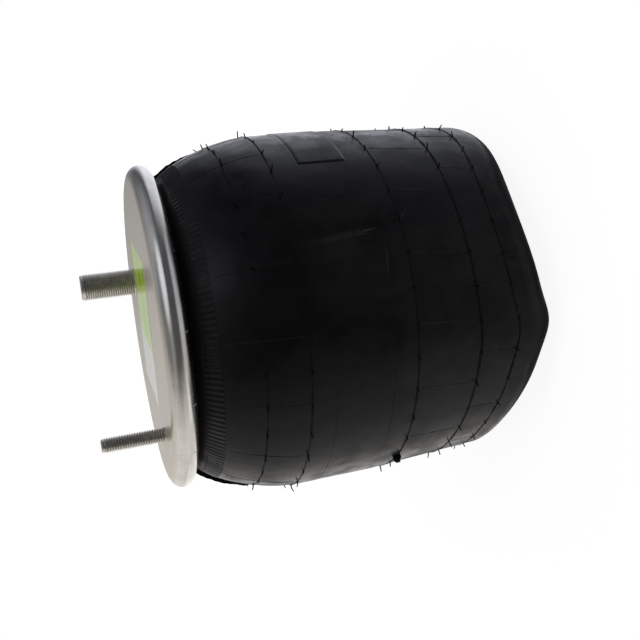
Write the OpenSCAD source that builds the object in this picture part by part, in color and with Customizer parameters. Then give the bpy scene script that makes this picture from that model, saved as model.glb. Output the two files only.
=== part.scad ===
// Rolling-lobe air bellows actuator, standing on its piston with the mounting studs up.
// Origin: centre of the piston's foot. +Z runs along the axis to the bead plate. Millimetres.

/* [Overall] */
// Height of the bead plate's face above the foot, collapsed on the bump stop
height = 251; // [240:1:270]

/* [Bead plate] */
// Outside radius of the rolled rim
plate_r = 109.1; // [105:0.1:113]
// Radius of the rolled rim's round section
rim_round = 7.85; // [7:0.05:9]
// Thickness of the steel sheet
sheet = 2.6; // [2:0.1:3]
// How far the rim turns in past straight down, in degrees
lip_turn = 35; // [15:1:45]

/* [Studs] */
// Radius of the air inlet stud over its thread
air_stud_r = 9.525; // [8:0.005:11]
// Length of the air inlet stud above the plate
air_stud_l = 38; // [25:0.5:50]
// Sideways place of the air inlet stud on the plate
air_stud_x = 49; // [44:0.5:54]
// Front-to-back place of the air inlet stud on the plate
air_stud_y = -34.8; // [-40:0.2:-30]
// Radius of the threaded air port in the stud
port_r = 5.55; // [4:0.05:6]
// Depth of the threaded air port
port_depth = 18; // [12:0.5:24]
// Radius of the air passage below the port
passage_r = 3.5; // [2:0.1:4]
// Radius of the air inlet stud's welded head
air_head_r = 15; // [12:0.5:16]
// Thickness of the air inlet stud's head
air_head_t = 5; // [3:0.5:7]
// Radius of the plain mounting stud over its thread
stud_r = 4.7625; // [4:0.0125:6]
// Length of the plain mounting stud above the plate
stud_l = 40; // [25:0.5:50]
// Sideways place of the plain mounting stud on the plate
stud_x = -31.9; // [-34:0.1:-28]
// Front-to-back place of the plain mounting stud on the plate
stud_y = 68.6; // [64:0.1:69]
// Radius of the plain mounting stud's welded head
stud_head_r = 8; // [7:0.1:8.5]
// Thickness of the plain mounting stud's head
stud_head_t = 3; // [2:0.1:4]
// Step from a stud's thread out to its shank in the plate
shank_step = 0.6; // [0.3:0.1:1]
// Chamfer at the studs' tips
tip_chamfer = 1.2; // [0.5:0.1:1.5]

/* [Bellows] */
// Greatest outside radius of the bellows
bellows_r = 122.5; // [119:0.5:128]
// Thickness of the rubber wall
wall = 5; // [4:0.1:6]
// Drop from the plate's face to where the shoulder reaches full radius
shoulder_drop = 86; // [76:1:96]
// Rise from the lobe's seam to where the wall's taper ends
taper_rise = 79; // [60:1:90]
// Outside radius at the rolled lobe
lobe_r = 119.2; // [116:0.2:122]
// Height of the lobe's end above the foot
lobe_lift = 9.8; // [6:0.2:16]
// Straight length of the lobe's legs above its round
lobe_leg = 5.6; // [4:0.2:8]
// Step in from the rolled rim to the rubber neck
neck_step = 1.3; // [1:0.1:3]
// Thickness of the neck below the plate
neck_wall = 7; // [6:0.1:7.2]
// Radius of the steel hoop in the upper bead
upper_wire_r = 3; // [2:0.1:3.5]

/* [Moulded rings] */
// Radius of a vent ring's round section
ring_round = 0.8; // [0.5:0.1:1.2]
// Radius of a band line's round section
line_round = 0.5; // [0.3:0.1:0.8]
// Drop from the plate's face to the edge of the ribbed band
ring_0_drop = 30.5; // [26:0.5:36]
// Drop to the first vent ring
ring_1_drop = 53.4; // [48:0.2:60]
// Drop to the second vent ring
ring_2_drop = 78.8; // [70:0.2:88]
// Drop to the upper line of the plain band
line_1_drop = 94.3; // [90:0.1:100]
// Rise from the lobe's seam to the lower line of the plain band
line_2_rise = 84.5; // [80:0.5:92]
// Rise from the lobe's seam to the third vent ring
ring_3_rise = 68.9; // [60:0.1:76]
// Rise from the lobe's seam to the fourth vent ring
ring_4_rise = 27.6; // [20:0.2:40]
// Rise from the lobe's seam to the fifth vent ring
ring_5_rise = 3.6; // [2:0.1:10]

/* [Piston] */
// Outside radius of the piston
piston_r = 77.5; // [74:0.5:82]
// Height of the piston's bead seat above the foot
piston_h = 165; // [150:1:175]
// Thickness of the pressed steel shell
shell_t = 3; // [2:0.1:4]
// Outside radius of the shell's top corner
corner_r = 7; // [5:0.5:9]
// Radius of the spigot that centres the lower bead
spigot_r = 46; // [40:0.5:48]
// Thickness of the foot plate
base_t = 5; // [4:0.5:8]
// Radius of the dish in the foot plate
dish_r = 30; // [24:0.5:32]
// Height of the dish in the foot plate
dish_h = 24; // [22:0.5:34]

/* [Lower bead and closure] */
// Height of the lower bead
bead_h = 9; // [7:0.5:12]
// Outside radius of the lower bead
bead_r = 60; // [57:0.5:62]
// Radius of the steel hoop in the lower bead
lower_wire_r = 2.6; // [1.5:0.1:3]
// Thickness of the closure disc
closure_t = 5; // [4.5:0.5:8]
// Width of the closure's turned-down rim
closure_rim = 3.5; // [2:0.5:5]
// Depth of the closure's turned-down rim
closure_lip = 3; // [1:0.5:3]
// Radius of the closure seal's round section
seal_round = 1.5; // [1:0.1:1.8]

/* [Piston bolt and nuts] */
// Radius of the piston bolt
bolt_r = 6.35; // [5:0.05:8]
// Radius of the bolt's clamping flange
flange_r = 14; // [12:0.5:16]
// Radius of the knob that holds the bump stop
knob_r = 17; // [15:0.5:20]
// Width across the flats of the nuts
nut_af = 19.05; // [18:0.05:22]
// Height of the piston nut
nut_h = 11; // [9:0.5:12]
// Radius of the piston washer
washer_r = 14; // [12:0.5:16]
// Thickness of the piston washer
washer_t = 2.5; // [1.5:0.5:4]
// Radius of the circle of the four foot threads
foot_circle_r = 52; // [48:0.5:56]
// Radius of the foot threads' holes
foot_hole_r = 5.4; // [4:0.1:6.5]
// Height of the weld nuts behind the foot threads
weld_nut_h = 10; // [8:0.5:14]

/* [Bump stop] */
// Radius of the bump stop's foot
stop_foot_r = 42; // [38:0.5:46]
// Radius of the bump stop's barrel
stop_r = 36; // [32:0.5:40]
// Radius of the bump stop's striking face
stop_tip_r = 26; // [20:0.5:30]
// Radius of the grooves round the barrel
groove_r = 5; // [3:0.5:6]

/* [Fits] */
// Play between a rubber bead and the steel that holds it
bead_fit = 0.1; // [0.05:0.05:0.3]
// Play between a stud and its hole in the plate
stud_fit = 0.05; // [0.02:0.01:0.1]
// Gap between the lobe's inner leg and the piston
peel_gap = 0.5; // [0.3:0.1:1]
// Play between the piston bolt and its holes
bolt_fit = 0.25; // [0.1:0.05:0.5]
// Play between the bump stop and the knob that holds it
knob_fit = 0.4; // [0.2:0.1:0.8]
// Gap between the bump stop and the plate
stop_gap = 0.2; // [0.1:0.1:0.5]

/* [Hidden] */
$fn = 96;

zinc = [0.72, 0.72, 0.70];
rubber = [0.10, 0.10, 0.11];
black_paint = [0.14, 0.14, 0.15];
bright_wire = [0.60, 0.58, 0.52];

// Rolled rim: centre of its round section, and the plate's underside.
rim_c = [plate_r - rim_round, height - rim_round];
under_z = height - sheet;
bead_round = rim_round - sheet - bead_fit;

// Bellows wall: the shoulder is an arc that leaves the full radius straight and ends at the neck.
neck_r = rim_c.x - rim_round - neck_step;
neck_in = neck_r - neck_wall;
neck_z = height - 2 * rim_round;
neck_top = under_z - bead_fit;
shoulder_z = height - shoulder_drop;
shoulder_in = bellows_r - neck_r;
shoulder_up = neck_z - shoulder_z;
shoulder_round = (shoulder_in ^ 2 + shoulder_up ^ 2) / (2 * shoulder_in);
shoulder_c = [bellows_r - shoulder_round, shoulder_z];
outer_turn = acos((neck_r - shoulder_c.x) / shoulder_round);
inner_turn = acos((neck_in - shoulder_c.x) / (shoulder_round - wall));

// Rolled lobe: it hangs between the wall outside and the piston inside.
leg_r = piston_r + peel_gap;
lobe_round = (lobe_r - leg_r) / 2;
lobe_c = [leg_r + lobe_round, lobe_lift + lobe_round];
seam_z = lobe_c.y + lobe_leg;
taper_z = seam_z + taper_rise;

// Lower bead, closure and bump stop are stacked on the piston's seat.
seat_z = piston_h + peel_gap;
bead_in = spigot_r + peel_gap;
closure_z = seat_z + bead_h + bead_fit;
closure_top = closure_z + closure_t;
closure_in = bead_r + peel_gap;
seal_c_r = bolt_r + bolt_fit + 3 * seal_round;
flange_t = 4;
knob_neck_r = 9;
knob_neck_h = 8;
knob_t = 6;
knob_round = 4;
stop_top = under_z - stop_gap;
stop_h = stop_top - closure_top;
stop_foot_h = 10;
wire_fit = 0.05;

// Foot: the piston nut sits up inside the dish.
dish_top = dish_h - base_t;
washer_z = dish_top - washer_t;
nut_z = washer_z - nut_h;
bolt_end = nut_z - 2.5;
bolt_chamfer = 1;

// Points round an arc of radius r about c, from angle a to angle b.
function arc(c, r, a, b, n = 24) =
    [for (i = [0:n]) let (t = a + (b - a) * i / n) c + r * [cos(t), sin(t)]];

// Outside radius of the bellows wall at height z.
function wall_r(z) =
    z > shoulder_z ? shoulder_c.x + sqrt(shoulder_round ^ 2 - (z - shoulder_z) ^ 2) :
    z > taper_z ? bellows_r :
    lobe_r + (bellows_r - lobe_r) * (z - seam_z) / (taper_z - seam_z);

// Radii r to r2 and heights z to z2 of a revolved piece.
module band(r, r2, z, z2) {
    translate([r, z])
        square([r2 - r, z2 - z]);
}

// Hexagon nut with chamfered corners, standing on z = 0.
module hex_nut(af, h, bore_r) {
    corner = af / sqrt(3);
    chamfer = (corner - af / 2) * 0.6;
    difference() {
        intersection() {
            cylinder(r = corner, h = h, $fn = 6);
            rotate_extrude()
                polygon([[0, 0], [af / 2, 0], [corner, chamfer], [corner, h - chamfer], [af / 2, h], [0, h]]);
        }
        translate([0, 0, -1])
            cylinder(r = bore_r, h = h + 2);
    }
}

// Threaded stud, drawn over its thread: welded head under the plate, thicker shank through it.
module stud(r, l, head_r, head_t) {
    rotate_extrude()
        polygon([[0, under_z - head_t], [head_r, under_z - head_t], [head_r, under_z],
                 [r + shank_step, under_z], [r + shank_step, height], [r, height],
                 [r, height + l - tip_chamfer], [r - tip_chamfer, height + l], [0, height + l]]);
}

// Places of the two studs, as children at the plate's axis.
module at_air_stud() {
    translate([air_stud_x, air_stud_y, 0])
        children();
}

module at_mounting_stud() {
    translate([stud_x, stud_y, 0])
        children();
}

// Pressed bead plate, with its rim rolled round the upper bead.
module bead_plate() {
    far = 2 * rim_round;
    lip = -90 - lip_turn;
    color(zinc)
        difference() {
            rotate_extrude() {
                band(0, rim_c.x, under_z, height);
                translate(rim_c)
                    difference() {
                        circle(rim_round);
                        circle(rim_round - sheet);
                        polygon([[0, 0], [0, far], [-far, far], [-far, -far], far * [cos(lip), sin(lip)]]);
                    }
            }
            at_air_stud()
                translate([0, 0, under_z - 1])
                    cylinder(r = air_stud_r + shank_step + stud_fit, h = sheet + 2);
            at_mounting_stud()
                translate([0, 0, under_z - 1])
                    cylinder(r = stud_r + shank_step + stud_fit, h = sheet + 2);
        }
}

// Hollow stud: it fastens the plate and lets the air in.
module air_inlet_stud() {
    tip = height + air_stud_l;
    color(zinc)
        at_air_stud()
            difference() {
                stud(air_stud_r, air_stud_l, air_head_r, air_head_t);
                translate([0, 0, tip - port_depth])
                    cylinder(r = port_r, h = port_depth + 1);
                translate([0, 0, under_z - air_head_t - 1])
                    cylinder(r = passage_r, h = tip - under_z + air_head_t);
            }
}

// Plain stud on the other side of the plate.
module mounting_stud() {
    color(zinc)
        at_mounting_stud()
            stud(stud_r, stud_l, stud_head_r, stud_head_t);
}

// Steel hoop in the bellows' upper bead.
module upper_bead_wire() {
    color(bright_wire)
        rotate_extrude()
            translate(rim_c)
                circle(upper_wire_r);
}

// Outer wall of the bellows: bead, neck, shoulder, vent rings and the straight wall.
module bellows_sleeve() {
    foot_z = rim_c.y - 0.6 * bead_round;
    rings = [height - ring_0_drop, height - ring_1_drop, height - ring_2_drop,
             seam_z + ring_3_rise, seam_z + ring_4_rise, seam_z + ring_5_rise];
    lines = [height - line_1_drop, seam_z + line_2_rise];
    color(rubber)
        rotate_extrude()
            difference() {
                union() {
                    polygon(concat(
                        [[lobe_r, seam_z], [bellows_r, taper_z]],
                        arc(shoulder_c, shoulder_round, 0, outer_turn),
                        [[neck_r, neck_top], [neck_in, neck_top]],
                        arc(shoulder_c, shoulder_round - wall, inner_turn, 0),
                        [[bellows_r - wall, taper_z], [lobe_r - wall, seam_z]]));
                    band(neck_in, rim_c.x, foot_z, neck_top);
                    translate(rim_c)
                        circle(bead_round);
                    for (z = rings)
                        translate([wall_r(z), z])
                            circle(ring_round);
                    for (z = lines)
                        translate([wall_r(z), z])
                            circle(line_round);
                }
                translate(rim_c)
                    circle(upper_wire_r + wire_fit);
            }
}

// Rolled end of the bellows, where the wall turns back up inside.
module bellows_lobe() {
    color(rubber)
        rotate_extrude() {
            difference() {
                translate(lobe_c)
                    circle(lobe_round);
                translate(lobe_c)
                    circle(lobe_round - wall);
                band(leg_r - 1, lobe_r + 1, lobe_c.y, lobe_c.y + lobe_round + 1);
            }
            band(leg_r, leg_r + wall, lobe_c.y, seam_z);
            band(lobe_r - wall, lobe_r, lobe_c.y, seam_z);
        }
}

// Inner wall of the bellows: it lies on the piston and ends in the lower bead.
module bellows_piston_wall() {
    corner_c = [piston_r - corner_r, piston_h - corner_r];
    color(rubber)
        rotate_extrude()
            difference() {
                union() {
                    band(leg_r, leg_r + wall, seam_z, corner_c.y);
                    intersection() {
                        translate(corner_c)
                            difference() {
                                circle(corner_r + peel_gap + wall);
                                circle(corner_r + peel_gap);
                            }
                        band(corner_c.x, leg_r + wall, corner_c.y, seat_z + wall);
                    }
                    band(bead_r, corner_c.x, seat_z, seat_z + wall);
                    band(bead_in, bead_r, seat_z, seat_z + bead_h);
                }
                translate([(bead_in + bead_r) / 2, seat_z + bead_h / 2])
                    circle(lower_wire_r + wire_fit);
            }
}

// Steel hoop in the bellows' lower bead.
module lower_bead_wire() {
    color(bright_wire)
        rotate_extrude()
            translate([(bead_in + bead_r) / 2, seat_z + bead_h / 2])
                circle(lower_wire_r);
}

// Steel disc that clamps the lower bead to the piston.
module end_closure() {
    outer_r = closure_in + closure_rim;
    groove_w = 2 * (seal_round + wire_fit);
    color(black_paint)
        rotate_extrude()
            difference() {
                union() {
                    band(bolt_r + bolt_fit, outer_r, closure_z, closure_top);
                    band(closure_in, outer_r, closure_z - closure_lip, closure_z);
                }
                band(seal_c_r - groove_w / 2, seal_c_r + groove_w / 2, closure_z - 1, closure_z + groove_w);
            }
}

// Rubber ring that seals the closure round the piston bolt.
module closure_seal() {
    color(rubber)
        rotate_extrude()
            translate([seal_c_r, closure_z + seal_round + wire_fit])
                circle(seal_round);
}

// Long bolt through the piston, with the knob that holds the bump stop.
module piston_bolt() {
    color(zinc)
        rotate_extrude()
            polygon([[0, bolt_end], [bolt_r - bolt_chamfer, bolt_end], [bolt_r, bolt_end + bolt_chamfer],
                     [bolt_r, closure_top], [flange_r, closure_top], [flange_r, closure_top + flange_t],
                     [knob_neck_r, closure_top + flange_t],
                     [knob_neck_r, closure_top + flange_t + knob_neck_h],
                     [knob_r, closure_top + flange_t + knob_neck_h],
                     [knob_r, closure_top + flange_t + knob_neck_h + knob_t - knob_round],
                     [knob_r - knob_round, closure_top + flange_t + knob_neck_h + knob_t],
                     [0, closure_top + flange_t + knob_neck_h + knob_t]]);
}

// Rubber bump stop, snapped over the bolt's knob.
module bump_stop() {
    knob_z = closure_top + flange_t + knob_neck_h;
    barrel_z = closure_top + stop_foot_h;
    color(rubber)
        rotate_extrude()
            difference() {
                polygon([[0, closure_top], [stop_foot_r, closure_top], [stop_foot_r, barrel_z - 3],
                         [stop_r, barrel_z], [stop_r, stop_top - stop_h / 4], [stop_tip_r, stop_top], [0, stop_top]]);
                band(-1, flange_r + knob_fit, closure_top - 1, closure_top + flange_t + knob_fit);
                band(-1, knob_neck_r + knob_fit, closure_top, knob_z);
                band(-1, knob_r + knob_fit, knob_z - knob_fit, knob_z + knob_t + knob_fit);
                for (share = [0.35, 0.62])
                    translate([stop_r + groove_r / 3, closure_top + share * stop_h])
                        circle(groove_r);
            }
}

// Half section of the piston's shell, set in from the outside by inset.
module shell_section(inset) {
    top = piston_h - inset;
    corner_c = [piston_r - corner_r, piston_h - corner_r];
    band(0, piston_r - inset, base_t, corner_c.y);
    band(0, corner_c.x, base_t, top);
    band(0, spigot_r - inset, base_t, closure_z - inset);
    intersection() {
        translate(corner_c)
            circle(corner_r - inset);
        band(0, piston_r, base_t, piston_h);
    }
}

// Pressed steel piston that the bellows rolls on.
module piston_shell() {
    color(black_paint)
        rotate_extrude()
            difference() {
                shell_section(0);
                shell_section(shell_t);
                band(-1, bolt_r + bolt_fit, base_t, closure_z + 1);
            }
}

// Foot plate welded into the piston, dished for the piston nut.
module piston_base() {
    color(black_paint)
        difference() {
            rotate_extrude()
                difference() {
                    union() {
                        band(0, piston_r, 0, base_t);
                        band(0, dish_r + base_t, 0, dish_h);
                    }
                    band(-1, dish_r, -1, dish_top);
                    band(-1, bolt_r + bolt_fit, 0, dish_h + 1);
                }
            at_foot_threads()
                translate([0, 0, -1])
                    cylinder(r = foot_hole_r, h = base_t + 2);
        }
}

// Places of the four foot threads.
module at_foot_threads() {
    for (turn = [0:90:270])
        rotate(turn)
            translate([foot_circle_r, 0, 0])
                children();
}

// Four nuts welded behind the foot plate for the fixing bolts.
module base_weld_nuts() {
    color(zinc)
        at_foot_threads()
            translate([0, 0, base_t])
                hex_nut(nut_af, weld_nut_h, foot_hole_r);
}

// Washer under the piston nut.
module piston_washer() {
    color(zinc)
        translate([0, 0, washer_z])
            difference() {
                cylinder(r = washer_r, h = washer_t);
                translate([0, 0, -1])
                    cylinder(r = bolt_r + bolt_fit, h = washer_t + 2);
            }
}

// Nut on the piston bolt, inside the dish.
module piston_nut() {
    color(zinc)
        translate([0, 0, nut_z])
            hex_nut(nut_af, nut_h, bolt_r + wire_fit);
}

bead_plate();
air_inlet_stud();
mounting_stud();
upper_bead_wire();
bellows_sleeve();
bellows_lobe();
bellows_piston_wall();
lower_bead_wire();
end_closure();
closure_seal();
piston_bolt();
bump_stop();
piston_shell();
piston_base();
base_weld_nuts();
piston_washer();
piston_nut();
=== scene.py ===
import bmesh
import bpy
import numpy as np
from mathutils import Matrix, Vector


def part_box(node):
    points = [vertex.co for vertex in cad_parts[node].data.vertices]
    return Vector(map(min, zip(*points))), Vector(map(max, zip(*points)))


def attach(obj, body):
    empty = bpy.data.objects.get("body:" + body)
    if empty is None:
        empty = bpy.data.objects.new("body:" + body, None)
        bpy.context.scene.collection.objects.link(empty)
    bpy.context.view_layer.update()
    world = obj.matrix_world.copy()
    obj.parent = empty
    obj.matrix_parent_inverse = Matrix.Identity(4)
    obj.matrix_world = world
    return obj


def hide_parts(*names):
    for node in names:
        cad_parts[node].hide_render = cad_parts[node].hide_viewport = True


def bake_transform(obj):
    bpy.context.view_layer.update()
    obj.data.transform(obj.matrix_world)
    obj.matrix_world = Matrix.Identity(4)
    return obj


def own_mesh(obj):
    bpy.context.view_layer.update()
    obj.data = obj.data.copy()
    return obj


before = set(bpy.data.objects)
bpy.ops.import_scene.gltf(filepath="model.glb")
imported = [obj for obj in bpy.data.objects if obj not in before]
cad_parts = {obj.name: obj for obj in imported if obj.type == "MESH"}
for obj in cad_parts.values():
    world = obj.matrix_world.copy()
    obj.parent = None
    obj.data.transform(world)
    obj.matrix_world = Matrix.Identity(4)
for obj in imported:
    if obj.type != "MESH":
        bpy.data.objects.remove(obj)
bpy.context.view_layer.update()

# Bead plate: a round pressing of zinc plated steel sheet. Its edge is rolled over the
# bellows' upper bead and crimped shut below it, which leaves a fat round rim.
MM = 0.001
FULL_TURN = 2 * np.pi
QUARTER = np.pi / 2
MERGE = 1e-6
CREASE = np.radians(38)
PLATE_COLUMNS, RIM_STEPS, LIP_STEPS = 288, 24, 30
plate_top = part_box("bead_plate")[1]
plate_r, face_z = plate_top.x, plate_top.z
rim_round = 7.85 * MM
sheet = 2.6 * MM
rim_r, rim_z = plate_r - rim_round, face_z - rim_round
under_z = face_z - sheet
LIP_ANGLE = np.radians(-125)
RIM_EASE = 3.0 * MM
ZINC_DULL = (0.60, 0.585, 0.555, 1)
ZINC_BRIGHT = (0.75, 0.735, 0.695, 1)
FACE_ROSE = (0.71, 0.635, 0.515, 1)
STAIN = (0.16, 0.115, 0.10, 1)
# A noise scale counts waves in a metre, and a tone is the two noise levels that a step rises between.
ZINC_CLOUDS, ZINC_GRAIN = 55, 2600
SCRATCH_SCALE, SCRATCH_ROUND, SCRATCH_ACROSS = 1.6, 2.2, 700
STAIN_ROUND, STAIN_ACROSS = 30, 900
AXIS_R = 0.1 * MM
SCRATCH_SHARE, GRAIN_SHARE = 0.4, 0.2
ZINC_TONE, STAIN_SPOTS, STAIN_CLOUDS = (0.36, 0.64), (0.66, 0.71), (0.42, 0.58)
PLATE_ROUGH, SCRATCH_ROUGH, CLOUD_ROUGH, EDGE_ROUGH = 0.17, 0.14, 0.08, 0.13
FACE_SKIN, FACE_DEEP, EDGE_DEEP = 0.1 * MM, 0.9 * MM, 3.4 * MM
EDGE_ROSE, FACE_MATT = 0.85, 0.35
STAIN_SHARE, STAIN_MATT = 0.7, 0.5
ZINC_BUMP, ZINC_BUMP_SHARE = 0.12 * MM, 0.5


def arc(centre_r, centre_z, radius, first, last, steps):
    """Points (r, z) at even angles round a centre, from one angle to another."""
    turn = np.linspace(first, last, steps)
    return np.stack((centre_r + radius * np.cos(turn), centre_z + radius * np.sin(turn)), -1)


def spin(profile, columns):
    """A profile of points (r, z) carried once round the axis: x is r cos and y is r sin of the turn."""
    turn = np.linspace(0, FULL_TURN, columns, endpoint=False)
    r, z = profile[:, :1], profile[:, 1:]
    return np.stack((r * np.cos(turn), r * np.sin(turn), z + 0 * turn), -1)[None]


def make_piece(name, *sheets):
    """A mesh from sheets of points shaped (copies, rows, columns, 3). Neighbours in a sheet make quads,
    also from the last row or column to the first where its loops say so. A sheet that encloses a
    negative volume is turned, so that faces point outwards, and points in one place are merged."""
    corners, quads, count = [], [], 0
    for points, loops in sheets:
        copies, rows, columns = points.shape[:3]
        index = np.arange(rows * columns).reshape(rows, columns)
        index = np.pad(index, ((0, int("rows" in loops)), (0, int("columns" in loops))), mode="wrap")
        quad = np.stack((index[:-1, :-1], index[:-1, 1:], index[1:, 1:], index[1:, :-1]), -1).reshape(-1, 4)
        a, b, c, d = (points[0] - points[0].mean((0, 1))).reshape(-1, 3)[quad.T]
        if np.sum(np.cross(a, b) * c + np.cross(a, c) * d) < 0:
            quad = quad[:, ::-1]
        first = count + np.arange(copies)[:, None, None] * rows * columns
        quads.append((first + quad).reshape(-1, 4))
        corners.append(points.reshape(-1, 3))
        count += copies * rows * columns
    mesh = bpy.data.meshes.new(name)
    mesh.from_pydata(np.concatenate(corners).tolist(), [], np.concatenate(quads).tolist())
    merged = bmesh.new()
    merged.from_mesh(mesh)
    bmesh.ops.remove_doubles(merged, verts=merged.verts, dist=MERGE)
    merged.to_mesh(mesh)
    merged.free()
    mesh.shade_smooth()
    mesh.set_sharp_from_angle(angle=CREASE)
    piece = bpy.data.objects.new(name, mesh)
    bpy.context.scene.collection.objects.link(piece)
    return piece


class Wire:
    """One socket of a node tree. Arithmetic on it adds Math nodes, and node() adds any other kind."""

    def __init__(self, tree, socket=None):
        self.tree, self.socket = tree, socket

    def node(self, kind, settings=None, inputs=None, out=0):
        """Adds a node of a type: its settings first, then its inputs' values or links."""
        made = self.tree.nodes.new("ShaderNode" + kind)
        for key, value in (settings or {}).items():
            setattr(made, key, value)
        for key, value in (inputs or {}).items():
            if isinstance(value, Wire):
                self.tree.links.new(value.socket, made.inputs[key])
            else:
                made.inputs[key].default_value = value
        return Wire(self.tree, made.outputs[out] if made.outputs else None)

    def other(self, out):
        """Another output of the node that this socket belongs to."""
        return Wire(self.tree, self.socket.node.outputs[out])

    def math(self, operation, *values):
        """A Math node's result on these values."""
        return self.node("Math", {"operation": operation}, dict(enumerate(values)))

    def __add__(self, value):
        return self.math("ADD", self, value)

    def __sub__(self, value):
        return self.math("SUBTRACT", self, value)

    def __rsub__(self, value):
        return self.math("SUBTRACT", value, self)

    def __mul__(self, value):
        return self.math("MULTIPLY", self, value)

    def __truediv__(self, value):
        return self.math("DIVIDE", self, value)

    def __rtruediv__(self, value):
        return self.math("DIVIDE", value, self)

    __radd__, __rmul__ = __add__, __mul__

    def root(self):
        """The square root."""
        return self.math("SQRT", self)

    def sway(self, size):
        """Noise, which swings about one half, as a swing about 0 of this size."""
        return (self - 0.5) * size

    def step(self, low, high):
        """0 below low, 1 above high and a smooth rise between."""
        return self.node("MapRange", {"interpolation_type": "SMOOTHSTEP"},
                         {"Value": self, "From Min": low, "From Max": high})

    def xyz(self):
        """The three parts of this vector."""
        x = self.node("SeparateXYZ", {}, {0: self})
        return x, x.other(1), x.other(2)

    def towards(self, aim):
        """How far this vector reaches along another: their dot product."""
        return self.node("VectorMath", {"operation": "DOT_PRODUCT"}, {0: self, 1: aim}, out="Value")

    def stretch(self, scale):
        """This vector times another, part by part."""
        return self.node("VectorMath", {"operation": "MULTIPLY"}, {0: self, 1: scale})

    def noise(self, scale, detail=3.0, roughness=0.55):
        """Noise read at this vector."""
        return self.node("TexNoise", {}, {"Vector": self, "Scale": scale, "Detail": detail,
                                          "Roughness": roughness})

    def between(self, first, second):
        """The colour mixed from two by this factor."""
        return self.node("Mix", {"data_type": "RGBA"}, {0: self, 6: first, 7: second}, out=2)

    def bump(self, distance, strength):
        """The normal that this height gives."""
        return self.node("Bump", {}, {"Height": self, "Distance": distance, "Strength": strength})


def new_finish(name):
    """An empty material, and the wire of its object coordinates."""
    material = bpy.data.materials.new(name)
    material.use_nodes = True
    material.node_tree.nodes.clear()
    return material, Wire(material.node_tree).node("TexCoord", out="Object")


def coat(wire, **sockets):
    """Ends a material with one shader, whose sockets take these values or links, _ standing for a space."""
    inputs = {key.replace("_", " "): value for key, value in sockets.items()}
    shader = wire.node("BsdfPrincipled", {}, inputs)
    wire.node("OutputMaterial", {}, {"Surface": shader})


def zinc_finish(name, dull, bright, roughness, matt_from=None):
    """Bright zinc plating: cloudy tone, and fine scratches round the axis that the press tool left. Near
    the height matt_from it turns duller and a little rosy, and below it there are a few small stains."""
    material, place = new_finish(name)
    x, y, z = place.xyz()
    r = (x * x + y * y).root() + AXIS_R
    round_x, round_y, across = x / r, y / r, r - z
    scratched = place.node("CombineXYZ", {}, {0: round_x * SCRATCH_ROUND, 1: round_y * SCRATCH_ROUND,
                                              2: across * SCRATCH_ACROSS})
    scratch = scratched.noise(SCRATCH_SCALE, detail=4.0)
    cloud = place.noise(ZINC_CLOUDS, detail=4.0)
    grain = place.noise(ZINC_GRAIN, detail=2.0)
    tone = cloud * (1 - SCRATCH_SHARE) + scratch * SCRATCH_SHARE
    metal = tone.step(*ZINC_TONE).between(dull, bright)
    rough = roughness + scratch.sway(SCRATCH_ROUGH) + cloud.sway(CLOUD_ROUGH)
    mirror = 1.0
    if matt_from:
        face = z.step(matt_from - FACE_DEEP, matt_from - FACE_SKIN)
        edge = z.step(matt_from - EDGE_DEEP, matt_from - FACE_SKIN)
        stained = place.node("CombineXYZ", {}, {0: round_x * STAIN_ROUND, 1: round_y * STAIN_ROUND,
                                                2: across * STAIN_ACROSS})
        spots = stained.noise(1.0, detail=2.0).step(*STAIN_SPOTS)
        stain = spots * cloud.step(*STAIN_CLOUDS) * (1 - face)
        metal = (edge * EDGE_ROSE).between(metal, FACE_ROSE)
        metal = (stain * STAIN_SHARE).between(metal, STAIN)
        rough = rough + edge * EDGE_ROUGH
        mirror = 1 - face * FACE_MATT - stain * STAIN_MATT
    height = scratch * (1 - GRAIN_SHARE) + grain * GRAIN_SHARE
    coat(place, Base_Color=metal, Metallic=mirror, Roughness=rough,
         Normal=height.bump(ZINC_BUMP, ZINC_BUMP_SHARE))
    return material


face_rings = np.linspace(0.1, 0.96, 10) * rim_r
# The rim's shoulder is the rim's arc drawn wider towards the axis, a quarter of an ellipse.
ease = RIM_EASE / rim_round
plate_profile = np.concatenate((
    [(0, face_z)],
    np.stack((face_rings, 0 * face_rings + face_z), -1),
    arc(rim_r, rim_z, rim_round, QUARTER, 0, RIM_STEPS) * (1 + ease, 1) - (ease * plate_r, 0),
    arc(rim_r, rim_z, rim_round, 0, LIP_ANGLE, RIM_STEPS),
    arc(rim_r, rim_z, rim_round - sheet, LIP_ANGLE, QUARTER, LIP_STEPS),
    [(0, under_z)]))
plate = make_piece("plate_pressing", (spin(plate_profile, PLATE_COLUMNS), "columns"))
plate.data.materials.append(zinc_finish("zinc_pressing", ZINC_DULL, ZINC_BRIGHT, PLATE_ROUGH, face_z))
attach(plate, "upper_mount")
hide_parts("bead_plate")

# Studs: steel bolts with rolled sixteen-to-the-inch threads, zinc plated and pressed
# through the plate. The thick one is hollow: air enters by a tapped port in its tip.
INCH_MM = 25.4
THREAD_PITCH = INCH_MM / 16 * MM
THREAD_DEPTH = 0.54 * THREAD_PITCH
CREST_SHARE, ROOT_SHARE = 0.34, 0.18
PORT_PITCH = INCH_MM / 18 * MM
PORT_DEPTH, PORT_CHAMFER = 0.8 * MM, 1 * MM
ROWS_PER_TURN = 12
STUD_COLUMNS = 73
air_stud_r, air_head_r, air_head_t = 9.525 * MM, 15 * MM, 5 * MM
plain_stud_r, plain_head_r, plain_head_t = 4.7625 * MM, 8 * MM, 3 * MM
SHANK_STEP, SHANK_END, SHANK_EASE, THREAD_START = 0.1 * MM, 0.2 * MM, 0.5 * MM, 0.6 * MM
TIP_LEAD, LEAD_STEP, TIP_CHAMFER = 2.2 * MM, 0.5 * MM, 0.8 * MM
port_r, port_depth = 5.55 * MM, 18 * MM
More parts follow.
